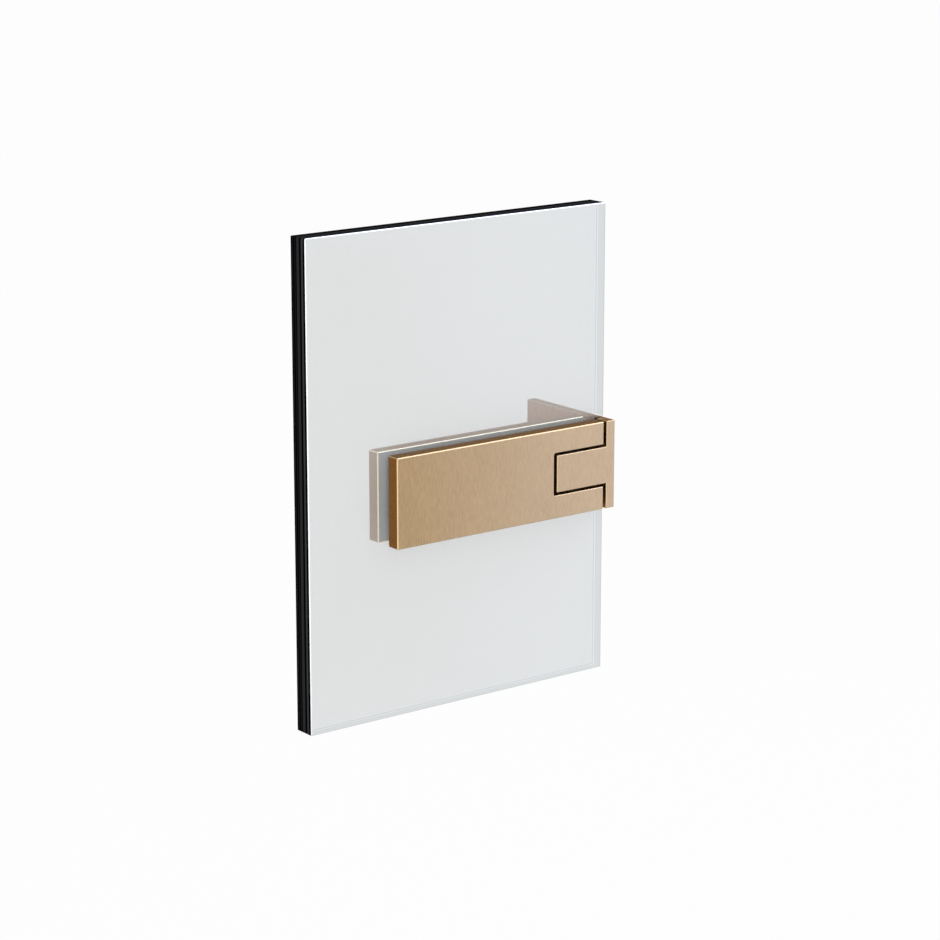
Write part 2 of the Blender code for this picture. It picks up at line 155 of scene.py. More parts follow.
def select_faces(piece, wanted):
    """In edit mode, select the faces that pass a test of their middle."""
    mesh = bmesh.from_edit_mesh(piece.data)
    bpy.ops.mesh.select_all(action="DESELECT")
    for face in mesh.faces:
        face.select_set(wanted(face.calc_center_median()))
    bmesh.update_edit_mesh(piece.data)


def in_notch(middle):
    narrow = middle.x > notch_end and abs(middle.z) < notch_half
    wide = middle.x > mouth_end and mouth_bottom < middle.z < mouth_top
    return narrow or wide


select_faces(pane, in_notch)
bpy.ops.mesh.delete(type="FACE")
bpy.ops.mesh.select_all(action="SELECT")
bpy.ops.mesh.dissolve_limited(angle_limit=straight_angle_limit)
print("corners of the notched sheet:", len(bmesh.from_edit_mesh(pane.data).verts))

# %% Round the notch and give the glass its thickness
corner_fillet = 3 * MM
fillet_steps = 6
near = 0.01 * MM

bpy.ops.mesh.select_mode(type="VERT")
bpy.ops.mesh.select_all(action="DESELECT")
sheet = bmesh.from_edit_mesh(pane.data)
for corner in sheet.verts:
    corner.select_set(abs(corner.co.x - notch_end) < near)
sheet.select_flush_mode()
bmesh.update_edit_mesh(pane.data)
bpy.ops.mesh.bevel(offset=corner_fillet, offset_type="OFFSET", segments=fillet_steps, affect="VERTICES")
bpy.ops.mesh.select_mode(type="FACE")
bpy.ops.mesh.select_all(action="SELECT")
bpy.ops.mesh.extrude_region_move(TRANSFORM_OT_translate={"value": (0, pane_thickness, 0)})
bpy.ops.mesh.select_all(action="SELECT")
bpy.ops.mesh.normals_make_consistent(inside=False)
bpy.ops.object.mode_set(mode="OBJECT")
print("faces of the thick pane:", len(pane.data.polygons))

# %% [markdown]
# ### Ground edges and drilled holes
#
# Sharp glass edges are broken with a small bevel called an arris. It is ground and not polished, so it
# looks white. The bevel modifier can give its new faces a material slot of their own, which keeps the
# arris apart from the polished faces and the dark edges. The holes are drilled last, through both faces,
# wide enough for the plastic sleeves that keep steel off the glass.

# %% Break the edges
arris_width = 0.25 * MM
arris_angle = math.radians(40)
finish_names = ("door_glass_face", "door_glass_edge", "ground_arris", "notch_edge")
face_slot, edge_slot, arris_slot, notch_slot = range(len(finish_names))
pane_finishes = [bpy.data.materials.new(name) for name in finish_names]
for finish in pane_finishes:
    pane.data.materials.append(finish)

arris = pane.modifiers.new("Arris", "BEVEL")
arris.width = arris_width
arris.segments = 1
arris.limit_method = "ANGLE"
arris.angle_limit = arris_angle
arris.material = arris_slot
bpy.ops.object.modifier_apply(modifier=arris.name)
print("faces with the arrises:", len(pane.data.polygons))

# %% Drill the holes
hole_clearance = 0.1 * MM
drill_overlap = 2 * MM
drill_facets = 48

sleeve_boxes = [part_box("glass_sleeve_1"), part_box("glass_sleeve_2")]
for low, high in sleeve_boxes:
    middle = (low + high) / 2
    deselect_all()
    bpy.ops.mesh.primitive_cylinder_add(
        vertices=drill_facets,
        radius=(high.x - low.x) / 2 + hole_clearance,
        depth=pane_thickness + drill_overlap,
        location=middle,
        rotation=(quarter_turn, 0, 0),
    )
    drill = settle("drill")
    deselect_all()
    pane.select_set(True)
    bpy.context.view_layer.objects.active = pane
    hole = pane.modifiers.new("Hole", "BOOLEAN")
    hole.operation = "DIFFERENCE"
    hole.object = drill
    bpy.ops.object.modifier_apply(modifier=hole.name)
    bpy.data.objects.remove(drill)
print("holes:", len(sleeve_boxes), "and faces:", len(pane.data.polygons))

# %% [markdown]
# ### A finish for every face
#
# Each face of the pane gets its finish by the way it points and where it lies. The faces that point straight
# to the front or back are polished. At the pane's corners, where two edges meet, the picture shows no white
# line, so the small bevel there takes the edge's finish. The notch's edges have a finish of their own,
# because the metal behind them should show through them cleanly.

# %% Give every face its finish
polished_tilt = 0.99
corner_tilt = 0.3
notch_zone = 2 * plate_high.z
smooth_angle = math.radians(30)

for polygon in pane.data.polygons:
    tilt = abs(polygon.normal.y)
    x, z = polygon.center.x, polygon.center.z
    if tilt > polished_tilt:
        polygon.material_index = face_slot
    elif notch_end - near < x < pane_high.x - near and abs(z) < notch_zone:
        polygon.material_index = notch_slot
    elif polygon.material_index != arris_slot or tilt < corner_tilt:
        polygon.material_index = edge_slot
bpy.ops.object.shade_smooth_by_angle(angle=smooth_angle)
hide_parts("glass_panel")
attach(pane, "leaf")
counts = [sum(p.material_index == slot for p in pane.data.polygons) for slot in range(len(finish_names))]
print("pane faces by finish:", dict(zip(finish_names, counts)))

# %% [markdown]
# ## Tools for the finishes
#
# A finish is a small network of shader nodes. A group holds an effect that several finishes share, such as
# brushing, and each finish gives it its own colour and scale. Three helpers keep the cells short: one adds a
# node and sets its values, one starts a node group with named sockets, and one fills a socket.

# %% Helpers for nodes and groups
def add_node(tree, kind, **values):
    """Add a shader node. A value named like a socket goes on the socket, and any other is a setting."""
    node = tree.nodes.new(kind)
    for name, value in values.items():
        if name in node.inputs:
            node.inputs[name].default_value = value
        else:
            setattr(node, name, value)
    return node


def new_group(name, inputs, outputs):
    """Start a node group. Each input is (name, kind, value), and each output is (name, kind)."""
    group = bpy.data.node_groups.new(name, "ShaderNodeTree")
    for label, kind, value in inputs:
        socket = group.interface.new_socket(label, in_out="INPUT", socket_type="NodeSocket" + kind)
        if value is not None:
            socket.default_value = value
    for label, kind in outputs:
        group.interface.new_socket(label, in_out="OUTPUT", socket_type="NodeSocket" + kind)
    given = group.nodes.new("NodeGroupInput").outputs
    made = group.nodes.new("NodeGroupOutput").inputs
    return group, given, made


def supply(tree, socket, term):
    """Link another node's output to a socket, or set a plain value on it."""
    if isinstance(term, bpy.types.NodeSocket):
        tree.links.new(term, socket)
    else:
        socket.default_value = term


print("node helpers ready")

# %% [markdown]
# ### Sums and blends
#
# A Math node does one sum, a Mix node blends two values, and a Noise node gives a soft random value to every
# place. A few such nodes make a pattern, so each has a helper. They take plain numbers as well as the
# outputs of other nodes.

# %% Helpers for sums and blends
def maths(tree, operation, first, second=0.0, third=0.0):
    """A Math node. Each term is a number or another node's output."""
    node = add_node(tree, "ShaderNodeMath", operation=operation)
    for socket, term in zip(node.inputs, (first, second, third)):
        supply(tree, socket, term)
    return node.outputs["Value"]


def scaled(tree, vector, factor):
    """A vector or colour times a number."""
    node = add_node(tree, "ShaderNodeVectorMath", operation="SCALE")
    tree.links.new(vector, node.inputs["Vector"])
    tree.links.new(factor, node.inputs["Scale"])
    return node.outputs["Vector"]


def mixed(tree, kind, factor, first, second):
    """A blend from first, at a factor of 0, to second, at 1. The kind is Color, Vector or Float."""
    data_type = {"Color": "RGBA", "Vector": "VECTOR", "Float": "FLOAT"}[kind]
    node = add_node(tree, "ShaderNodeMix", data_type=data_type)
    sockets = {socket.identifier: socket for socket in node.inputs}
    for name, term in (("Factor_Float", factor), ("A_" + kind, first), ("B_" + kind, second)):
        supply(tree, sockets[name], term)
    return next(socket for socket in node.outputs if socket.identifier == "Result_" + kind)


def noise(tree, place, scale, detail=3.0):
    """Soft noise from 0 to 1, centred on a half."""
    node = add_node(tree, "ShaderNodeTexNoise", Detail=detail, Roughness=0.6)
    supply(tree, node.inputs["Scale"], scale)
    tree.links.new(place, node.inputs["Vector"])
    return node.outputs["Fac"]


def spread(tree, value, middle, reach):
    """Turn a 0 to 1 value into one that lies about a middle, at most its reach away."""
    return maths(tree, "ADD", middle, maths(tree, "MULTIPLY", maths(tree, "SUBTRACT", value, 0.5), reach))


def unsigned_parts(tree, normal):
    """The X, Y and Z parts of a normal without their signs: a flat face has one part of 1."""
    size = add_node(tree, "ShaderNodeVectorMath", operation="ABSOLUTE")
    parts = add_node(tree, "ShaderNodeSeparateXYZ")
    tree.links.new(normal, size.inputs[0])
    tree.links.new(size.outputs["Vector"], parts.inputs["Vector"])
    return parts.outputs


print("sum and blend helpers ready")

# %% [markdown]
# ## Brushing
#
# Brushed metal is ground with an abrasive belt that runs one way, here up and down the plates. Each groove
# is finer than a hair, and what the eye sees are streaks of them, under half a millimetre wide and several
# millimetres long. Stretched noise has just that form: a point's place is multiplied by a large number
# across the grain and a small one along it before the noise is read. The same noise drives tone, roughness
# and relief, so that the three change together along a streak.
#
# A second, broad noise gives the faint clouds that handling and lacquer leave.

# %% The brushed grain group
grain_share = 0.75
grain_detail = 1.0
cloud_scale = 60.0
cloud_detail = 2.0


def brushed_grain_group():
    group, given, made = new_group(
        "brushed_grain",
        [
            ("Place", "Vector", None),
            ("Colour", "Color", (0.8, 0.8, 0.8, 1)),
            ("Contrast", "Float", 0.2),
            ("Across", "Vector", (1500, 1500, 150)),
            ("Roughness", "Float", 0.3),
            ("Roughness Spread", "Float", 0.1),
        ],
        [("Colour", "Color"), ("Roughness", "Float"), ("Height", "Float")],
    )
    stretch = add_node(group, "ShaderNodeVectorMath", operation="MULTIPLY")
    group.links.new(given["Place"], stretch.inputs[0])
    group.links.new(given["Across"], stretch.inputs[1])
    grain = noise(group, stretch.outputs["Vector"], 1.0, grain_detail)
    clouds = noise(group, given["Place"], cloud_scale, cloud_detail)
    both = mixed(group, "Float", grain_share, clouds, grain)
    tone = spread(group, both, 1.0, given["Contrast"])
    group.links.new(scaled(group, given["Colour"], tone), made["Colour"])
    group.links.new(spread(group, grain, given["Roughness"], given["Roughness Spread"]), made["Roughness"])
    group.links.new(grain, made["Height"])
    return group


brushed_grain = brushed_grain_group()
print("group:", brushed_grain.name, "with", len(brushed_grain.nodes), "nodes")

# %% [markdown]
# ## Cut edges
#
# The plates' edges are broken with a fine cutter after brushing, so the chamfers have a tone and a polish of
# their own; on the inner plate the chamfers' colour is a painted highlight. They lie at 45 degrees to the
# faces.
# The mask reads the surface normal in the piece's own space: on a flat face one part of it is 1, and on a
# chamfer no part is more than 0.71.

# %% The cut edge group
flat_from = 0.9
chamfer_to = 0.8


def cut_edge_group():
    group, given, made = new_group(
        "cut_edge",
        [
            ("Normal", "Vector", None),
            ("Colour", "Color", (0.8, 0.8, 0.8, 1)),
            ("Edge Colour", "Color", (0.9, 0.9, 0.9, 1)),
            ("Roughness", "Float", 0.3),
            ("Edge Roughness", "Float", 0.15),
        ],
        [("Colour", "Color"), ("Roughness", "Float")],
    )
    parts = unsigned_parts(group, given["Normal"])
    flatness = maths(group, "MAXIMUM", maths(group, "MAXIMUM", parts["X"], parts["Y"]), parts["Z"])
    edge = add_node(group, "ShaderNodeMapRange")
    edge.inputs["From Min"].default_value = flat_from
    edge.inputs["From Max"].default_value = chamfer_to
    group.links.new(flatness, edge.inputs["Value"])
    tint = mixed(group, "Color", edge.outputs["Result"], given["Colour"], given["Edge Colour"])
    polish = mixed(group, "Float", edge.outputs["Result"], given["Roughness"], given["Edge Roughness"])
    group.links.new(tint, made["Colour"])
    group.links.new(polish, made["Roughness"])
    return group


cut_edge = cut_edge_group()
print("group:", cut_edge.name, "with", len(cut_edge.nodes), "nodes")

# %% [markdown]
# ## Turning marks
#
# Screws and pins are turned on a lathe, and the tool leaves fine rings about the axis. A ring pattern is a
# wave of the distance from the axis, so the group is given a place that is zero on the axis, and a vector
# that flattens it along the axis. A little noise breaks the rings up, as chatter and handling do.

# %% The turned rings group
chatter_scale = 900.0
chatter_reach = 4.0


def turned_rings_group():
    group, given, made = new_group(
        "turned_rings",
        [
            ("Place", "Vector", None),
            ("Flatten", "Vector", (1, 0, 1)),
            ("Colour", "Color", (0.5, 0.5, 0.5, 1)),
            ("Contrast", "Float", 0.2),
            ("Ring Scale", "Float", 20000.0),
            ("Roughness", "Float", 0.3),
            ("Roughness Spread", "Float", 0.1),
        ],
        [("Colour", "Color"), ("Roughness", "Float"), ("Height", "Float")],
    )
    flat = add_node(group, "ShaderNodeVectorMath", operation="MULTIPLY")
    group.links.new(given["Place"], flat.inputs[0])
    group.links.new(given["Flatten"], flat.inputs[1])
    distance = add_node(group, "ShaderNodeVectorMath", operation="LENGTH")
    group.links.new(flat.outputs["Vector"], distance.inputs[0])
    grain = noise(group, given["Place"], chatter_scale)
    angle = maths(group, "MULTIPLY", distance.outputs["Value"], given["Ring Scale"])
    wave = maths(group, "SINE", maths(group, "ADD", angle, maths(group, "MULTIPLY", grain, chatter_reach)))
    ring = maths(group, "MULTIPLY_ADD", wave, 0.5, 0.5)
    both = mixed(group, "Float", 0.5, grain, ring)
    tone = spread(group, both, 1.0, given["Contrast"])
    group.links.new(scaled(group, given["Colour"], tone), made["Colour"])
    group.links.new(spread(group, grain, given["Roughness"], given["Roughness Spread"]), made["Roughness"])
    group.links.new(both, made["Height"])
    return group


turned_rings = turned_rings_group()
print("group:", turned_rings.name, "with", len(turned_rings.nodes), "nodes")

# %% [markdown]
# ## Mottle
#
# Rubber, plastic, ground glass and oxide have no direction. Two sizes of noise together, one for the fine
# grain and one for slow patches, keep them from looking like flat paint.

# %% The mottle group
mottle_detail = 2.0


def mottle_group():
    group, given, made = new_group(
        "mottle",
        [
            ("Place", "Vector", None),
            ("Colour", "Color", (0.5, 0.5, 0.5, 1)),
            ("Contrast", "Float", 0.1),
            ("Grain Scale", "Float", 2500.0),
            ("Patch Scale", "Float", 150.0),
            ("Roughness", "Float", 0.5),
            ("Roughness Spread", "Float", 0.1),
        ],
        [("Colour", "Color"), ("Roughness", "Float"), ("Height", "Float")],
    )
    grain = noise(group, given["Place"], given["Grain Scale"], mottle_detail)
    patches = noise(group, given["Place"], given["Patch Scale"], mottle_detail)
    both = mixed(group, "Float", 0.5, grain, patches)
    tone = spread(group, both, 1.0, given["Contrast"])
    group.links.new(scaled(group, given["Colour"], tone), made["Colour"])
    group.links.new(spread(group, grain, given["Roughness"], given["Roughness Spread"]), made["Roughness"])
    group.links.new(grain, made["Height"])
    return group


mottle = mottle_group()
print("group:", mottle.name, "with", len(mottle.nodes), "nodes")

# %% [markdown]
# ## Putting a group in a finish
#
# Each finish keeps its own shader node and feeds it from the groups. The helpers here start a material with
# the Object coordinates that the patterns read, place a group in it, and lead the group's relief to the
# surface through a Bump node. A value that is the same all over, such as metalness, is set on the shader
# itself. Where a finish needs two shaders, such as glass that is dark outside and clear inside, the last
# helper mixes them in the material.

# %% Helpers for finishes
def start_finish(name, **values):
    """A material with its shader's plain values set, and the Object coordinates and normal to feed it."""
    finish = bpy.data.materials.get(name) or bpy.data.materials.new(name)
    finish.use_nodes = True
    tree = finish.node_tree
    shader = tree.nodes["Principled BSDF"]
    for label, value in values.items():
        shader.inputs[label.replace("_", " ").title().replace("Ior", "IOR")].default_value = value
    where = add_node(tree, "ShaderNodeTexCoord")
    return finish, tree, shader, where.outputs


def place_group(tree, group, **values):
    """Add a group, supply its inputs, and return its outputs."""
    node = add_node(tree, "ShaderNodeGroup", node_tree=group)
    for label, value in values.items():
        supply(tree, node.inputs[label.replace("_", " ").title()], value)
    return node.outputs


def feed(tree, shader, colour, roughness, height=None, depth=0.0):
    """Lead colour, roughness and relief to the shader. Depth is the relief's height in metres."""
    tree.links.new(colour, shader.inputs["Base Color"])
    tree.links.new(roughness, shader.inputs["Roughness"])
    if height is not None:
        bump = add_node(tree, "ShaderNodeBump", Distance=depth, Strength=1.0)
        tree.links.new(height, bump.inputs["Height"])
        tree.links.new(bump.outputs["Normal"], shader.inputs["Normal"])


def dress(finish, *names):
    """Give solids their finish, in place of the plain one that they came with."""
    for name in names:
        materials = nodes[name].data.materials
        materials.clear()
        materials.append(finish)
    print(finish.name, "->", ", ".join(names))


def mix_shaders(tree, factor, first, second):
    """Give a material's surface the first shader where the factor is 0, and the second where it is 1."""
    blend = add_node(tree, "ShaderNodeMixShader")
    tree.links.new(factor, blend.inputs["Fac"])
    tree.links.new(first.outputs[0], blend.inputs[1])
    tree.links.new(second.outputs[0], blend.inputs[2])
    output = tree.nodes.get("Material Output") or add_node(tree, "ShaderNodeOutputMaterial")
    tree.links.new(blend.outputs["Shader"], output.inputs["Surface"])


# %% [markdown]
# ## Champagne brass
#
# The visible plates and the bracket are solid brass, brushed upright and finished in a pale gold known as
# champagne. In the picture the brushing shows as short upright streaks of slightly different tone, and the
# upper and left edges as thin bright lines. Brass needs no coat of paint to look gold: the colour is that of
# its reflection, so metalness is 1 and the base colour is the gold itself.
#
# A bar's narrow top and bottom are brushed along its length. The normal says which faces these are, and
# chooses the vector that stretches the grain.
#
# The inner plate has a copy of the finish, a little yellower, whose chamfers carry a pale painted highlight
# that stays visible through the glass in front of it.

# %% Champagne brass
upright_grain = (2400, 2400, 380)
lengthwise_grain = (380, 2400, 2400)
level_face = 0.9
groove_depth = 0.003 * MM
champagne = (0.65, 0.50, 0.365, 1)
champagne_edge = (0.60, 0.44, 0.25, 1)
inside_champagne = (0.64, 0.49, 0.30, 1)
# A pale painted highlight for the inner plate's chamfers.
inside_painted_highlight = (1.0, 0.88, 0.60, 1)


# The edge colour is the chamfers' own tone on the outer plates, and a painted highlight on the inner plate.
def brushed_brass(name, colour, edge_colour, edge_roughness):
    finish, tree, shader, where = start_finish(name, metallic=1.0)
    level = maths(tree, "GREATER_THAN", unsigned_parts(tree, where["Normal"])["Z"], level_face)
    across = mixed(tree, "Vector", level, upright_grain, lengthwise_grain)
    grain = place_group(
        tree, brushed_grain, place=where["Object"], across=across,
        colour=colour, contrast=0.5, roughness=0.30, roughness_spread=0.14,
    )
    edges = place_group(
        tree, cut_edge, normal=where["Normal"], colour=grain["Colour"], roughness=grain["Roughness"],
        edge_colour=edge_colour, edge_roughness=edge_roughness,
    )
    feed(tree, shader, *edges, grain["Height"], groove_depth)
    return finish


brass = brushed_brass("champagne_brass_outside", champagne, champagne_edge, edge_roughness=0.36)
dress(brass, "wall_bracket", "outer_plate", "upper_bearing_cap", "lower_bearing_cap")
# The inner plate's copy paints a pale highlight on its chamfers.
inner_brass_painted_highlight = brushed_brass("champagne_brass_inside_painted_highlight", inside_champagne, inside_painted_highlight, edge_roughness=0.30)
dress(inner_brass_painted_highlight, "inner_plate")

# %% [markdown]
# ## Turned steel
#
# The screws are stainless steel, and the pin is hardened steel with a black oxide skin. Its near-black
# colour is also painted shade for the gap round the tongue, where the pin shows. Each has its own axis, so
# each gets its own copy of the finish, with a Mapping node that moves the rings' centre onto that axis. The
# middle of a turned piece's box is a point on its axis. The screws lie along Y and the pin stands along Z,
# so a different part of the place is set to zero for each.

# %% Turned steel for the screws and the pin
bright_steel = (0.56, 0.56, 0.55, 1)
# Near-black: a black oxide skin, and painted shade for the gap where the pin shows.
black_steel_painted_gap_shade = (0.035, 0.035, 0.038, 1)
without_y = (1, 0, 1)
without_z = (1, 1, 0)
tool_mark_depth = 0.003 * MM
turned_pieces = {name: (without_y, bright_steel) for name in nodes if "screw" in name}
turned_pieces["pivot_pin"] = (without_z, black_steel_painted_gap_shade)
for name, (flatten, steel_colour) in turned_pieces.items():
    low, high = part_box(name)
    steel, tree, shader, where = start_finish("turned_steel_" + name, metallic=1.0)
    centred = add_node(tree, "ShaderNodeMapping", vector_type="POINT")
    centred.inputs["Location"].default_value = -(low + high) / 2
    tree.links.new(where["Object"], centred.inputs["Vector"])
    rings = place_group(
        tree, turned_rings, place=centred.outputs["Vector"], flatten=flatten,
        colour=steel_colour, contrast=0.3, roughness=0.28, roughness_spread=0.12,
    )
    feed(tree, shader, *rings, tool_mark_depth)
    dress(steel, name)

# %% [markdown]
# ## Black oxide, acetal and rubber
#
# The two cams are hardened and blackened, so the gap round the tongue stays dark, as the picture shows:
# their near-black colour is a black oxide skin and painted shade for that gap. The bush and the glass
# sleeves are natural acetal, a waxy white plastic. The gaskets are die cut from a grey rubber sheet with a
# fine matt grain.
# All three share the mottle group.

# %% Oxide, plastic and rubber
def mottled_finish(name, metallic, relief, **values):
    """A finish that is all mottle. Relief is the height of its grain in metres."""
    finish, tree, shader, where = start_finish(name, metallic=metallic)
    skin = place_group(tree, mottle, place=where["Object"], **values)
    feed(tree, shader, *skin, relief)
    return finish


# The cams' near-black colour is a black oxide skin and painted shade for the gap round the tongue.
oxide = mottled_finish(
    "black_oxide", 1.0, 0.004 * MM,
    colour=(0.03, 0.03, 0.033, 1), contrast=0.6, roughness=0.48, roughness_spread=0.2,
)
dress(oxide, "lower_cam", "upper_cam")

acetal = mottled_finish(
    "natural_acetal", 0.0, 0.006 * MM,
    colour=(0.78, 0.78, 0.75, 1), contrast=0.08, roughness=0.42, roughness_spread=0.15,
)
dress(acetal, "tongue_bush", "glass_sleeve_1", "glass_sleeve_2")

rubber = mottled_finish(
    "gasket_rubber", 0.0, 0.01 * MM,
    colour=(0.21, 0.245, 0.26, 1), contrast=0.5, roughness=0.75, roughness_spread=0.2,
)
dress(rubber, "outer_gasket", "inner_gasket")

# %% [markdown]
# ## Polished glass
#
# The two faces of the pane are real refracting glass: what lies behind it is seen a little shifted. Clear
# float glass still loses some light and looks slightly grey and blue, and the picture shows it a little
# milky, so not all of the light is transmitted. It is smooth, so the shader keeps plain numbers for its
# metalness, roughness and transmission, and only its tint comes from a group.
#
# Glass also stops a renderer's lamps, as their light would have to be bent on its way through. So only the
# camera's own rays, and those that already came through glass, are bent. All the others, such as shadow
# rays and the rays that gather soft light, meet a plain see-through surface.

# %% Glass for the polished faces
glass_tint = (0.845, 0.86, 0.87, 1)
shadow_tint = (0.80, 0.82, 0.83, 1)

glass_face, tree, shader, where = start_finish(
    "door_glass_face", transmission_weight=0.735, roughness=0.0, ior=1.5, metallic=0.0,
)
skin = place_group(
    tree, mottle, place=where["Object"],
    colour=glass_tint, contrast=0.03, grain_scale=400.0, patch_scale=20.0,
)
tree.links.new(skin["Colour"], shader.inputs["Base Color"])
see_through = add_node(tree, "ShaderNodeBsdfTransparent", Color=shadow_tint)
ray = add_node(tree, "ShaderNodeLightPath").outputs
bends = maths(tree, "MAXIMUM", ray["Is Camera Ray"], ray["Is Transmission Ray"])
mix_shaders(tree, bends, see_through, shader)
print(glass_face.name, "ready")

# %% [markdown]
# ## The dark edge of the pane
#
# Seen from outside, the edge of a thick pane looks almost black. Light that enters there is held in the
# sheet and lost along it, and faint lines show where the two faces and the far side mirror each other. Here
# that darkness is painted shade, and the lines are painted reflections, in the edge's colour. Seen from
# inside, through a face, the same edge is nearly clear, with a few pale lines, and these bands are painted
# too: the edge dims what is behind it by depth. The Backfacing output tells the two apart, and mixes a
# shader for each.
# The lines run along the edge at fixed depths in the glass, so a ramp over the depth draws them.

# %% Helpers for the pane's edges
def depth_ramp(tree, depth, levels, tint):
    """A ramp over the depth in the glass. Each level is (depth, brightness), in order."""
    ramp = add_node(tree, "ShaderNodeValToRGB")
    tree.links.new(depth, ramp.inputs["Fac"])
    colours = [(place, [level * part for part in tint] + [1]) for place, level in levels]
    stops = ramp.color_ramp.elements
    stops[0].color = colours[0][1]
    stops[1].color = colours[-1][1]
    for place, colour in colours:
        stops.new(place).color = colour
    return ramp.outputs["Color"]


def show_inside(tree, shader, inside):
    """Use one shader on the outer side of a face and another where it is seen from within."""
    mix_shaders(tree, add_node(tree, "ShaderNodeNewGeometry").outputs["Backfacing"], shader, inside)


print("edge helpers ready")

# %% [markdown]
# ### Lines at fixed depths
#
# Depth is 0 at the back face and 1 at the front face. Each painted reflection line on the outside is given
# by where it starts and ends and how bright it is, and its sides are soft. Between the lines the edge is
# painted almost black as shade. Inside, the painted brightness is given at a few depths.

# %% Glass for the edges
# The outside of the edge is painted almost black as shade, with brighter bands painted as reflections.
painted_edge_shade = 0.0012
painted_reflection_lines = ((0.10, 0.18, 0.014), (0.25, 0.36, 0.009), (0.40, 0.60, 0.027), (0.71, 0.85, 0.044))
line_softness = 0.02
painted_line_tint = (1.0, 1.0, 1.08)
# Seen from inside, the edge is painted with bands of dimming that stand in for its reflections and shade.
painted_inside_levels = ((0.06, 0.90), (0.13, 0.90), (0.18, 0.745), (0.82, 0.745), (0.88, 0.64), (0.94, 0.60))
painted_inside_tint = (0.96, 1.0, 1.01)

painted_line_levels = []
for start, end, level in painted_reflection_lines:
    painted_line_levels += [(start, painted_edge_shade), (start + line_softness, level)]
    painted_line_levels += [(end - line_softness, level), (end, painted_edge_shade)]

glass_edge, tree, shader, where = start_finish("door_glass_edge", specular_ior_level=0.0, metallic=0.0)
parts = add_node(tree, "ShaderNodeSeparateXYZ")
tree.links.new(where["Object"], parts.inputs["Vector"])
depth = add_node(tree, "ShaderNodeMapRange")
depth.inputs["From Min"].default_value = pane_high.y
depth.inputs["From Max"].default_value = pane_low.y
tree.links.new(parts.outputs["Y"], depth.inputs["Value"])
painted_outside_shade_and_lines = depth_ramp(tree, depth.outputs["Result"], painted_line_levels, painted_line_tint)
skin = place_group(
    tree, mottle, place=where["Object"], colour=painted_outside_shade_and_lines,
    contrast=0.5, grain_scale=3000.0, patch_scale=90.0, roughness=0.28, roughness_spread=0.1,
)
feed(tree, shader, skin["Colour"], skin["Roughness"])
painted_inside_bands = depth_ramp(tree, depth.outputs["Result"], painted_inside_levels, painted_inside_tint)
inside = add_node(tree, "ShaderNodeBsdfTransparent")
tree.links.new(painted_inside_bands, inside.inputs["Color"])
show_inside(tree, shader, inside)
print(glass_edge.name, "has", len(painted_reflection_lines), "faint lines")

# %% [markdown]
# ## Ground glass
#
# The arris scatters light, so from outside it is a white line where light reaches it and a grey one
# underneath. A rough mirror comes close to that. Seen from inside it only dims what is behind it, and the
# edges of the notch are as good as clear, so that they draw no lines over the metal.

# %% Ground glass for the arris and the notch
ground_colour = (0.62, 0.64, 0.65, 1)
ground_relief = 0.01 * MM
seen_from_inside = {"ground_arris": (0.64, 0.66, 0.67, 1), "notch_edge": (0.95, 0.97, 0.98, 1)}

for name, tint in seen_from_inside.items():
    ground, tree, shader, where = start_finish(name, metallic=0.8)
    skin = place_group(
        tree, mottle, place=where["Object"], colour=ground_colour,
        contrast=0.12, grain_scale=5000.0, roughness=0.14, roughness_spread=0.08,
    )
    feed(tree, shader, *skin, ground_relief)
    show_inside(tree, shader, add_node(tree, "ShaderNodeBsdfTransparent", Color=tint))
    print(ground.name, "ready")

# The solid that the pane stands for gets the polished finish too, in case it is ever shown.
dress(glass_face, "glass_panel")

# %% [markdown]
# ## Floor and surroundings
#
# The hinge is shown before plain white paper. The world is white for the camera and for what is seen in or
# through things, and a little lower for the soft light that it gives. The floor lies well below the hinge.
# It is a mix of plain white paper, which takes a shadow, and a white glow that keeps it as bright as the
# world behind it, so there is no horizon line.

# %% Floor
paper_white = 1.0
paper_colour = (0.88, 0.88, 0.88, 1)
floor_drop = 0.24
floor_size = 16.0
floor_glow = 0.93


def seen_directly(tree):
    """1 where the camera, a mirror or glass shows the surroundings, and 0 for the light they give."""
    ray = add_node(tree, "ShaderNodeLightPath").outputs
    mirrored_or_through = maths(tree, "MAXIMUM", ray["Is Glossy Ray"], ray["Is Transmission Ray"])
    return maths(tree, "MAXIMUM", ray["Is Camera Ray"], mirrored_or_through)


deselect_all()
bpy.ops.mesh.primitive_plane_add(size=floor_size, location=(0, 0, pane_low.z - floor_drop))
floor = settle("floor")
paper = bpy.data.materials.new("paper")
paper.use_nodes = True
tree = paper.node_tree
tree.nodes.clear()
plain = add_node(tree, "ShaderNodeBsdfDiffuse", Color=paper_colour)
glow = add_node(tree, "ShaderNodeEmission", Color=(1, 1, 1, 1), Strength=paper_white)
mix_shaders(tree, maths(tree, "MULTIPLY", seen_directly(tree), floor_glow), plain, glow)
floor.data.materials.append(paper)
print("floor at z =", round(floor.data.vertices[0].co.z, 3))

# %% World
soft_light = 0.85

world = bpy.data.worlds.new("studio")
bpy.context.scene.world = world
world.use_nodes = True
tree = world.node_tree
tree.nodes.clear()
around = add_node(tree, "ShaderNodeBackground", Color=(1, 1, 1, 1))
brightness = mixed(tree, "Float", seen_directly(tree), soft_light, paper_white)
tree.links.new(brightness, around.inputs["Strength"])
output = add_node(tree, "ShaderNodeOutputWorld")
tree.links.new(around.outputs["Background"], output.inputs["Surface"])
print("world:", paper_white, "where it is seen and", soft_light, "for its light")

# %% [markdown]
# ## The camera
#
# The camera stands to the left of the hinge and a little above it, and looks slightly down. Its place and
# lens were fitted to the corners of the pane in the picture. The Standard view transform shows colours as
# they are written, with no film-like curve.

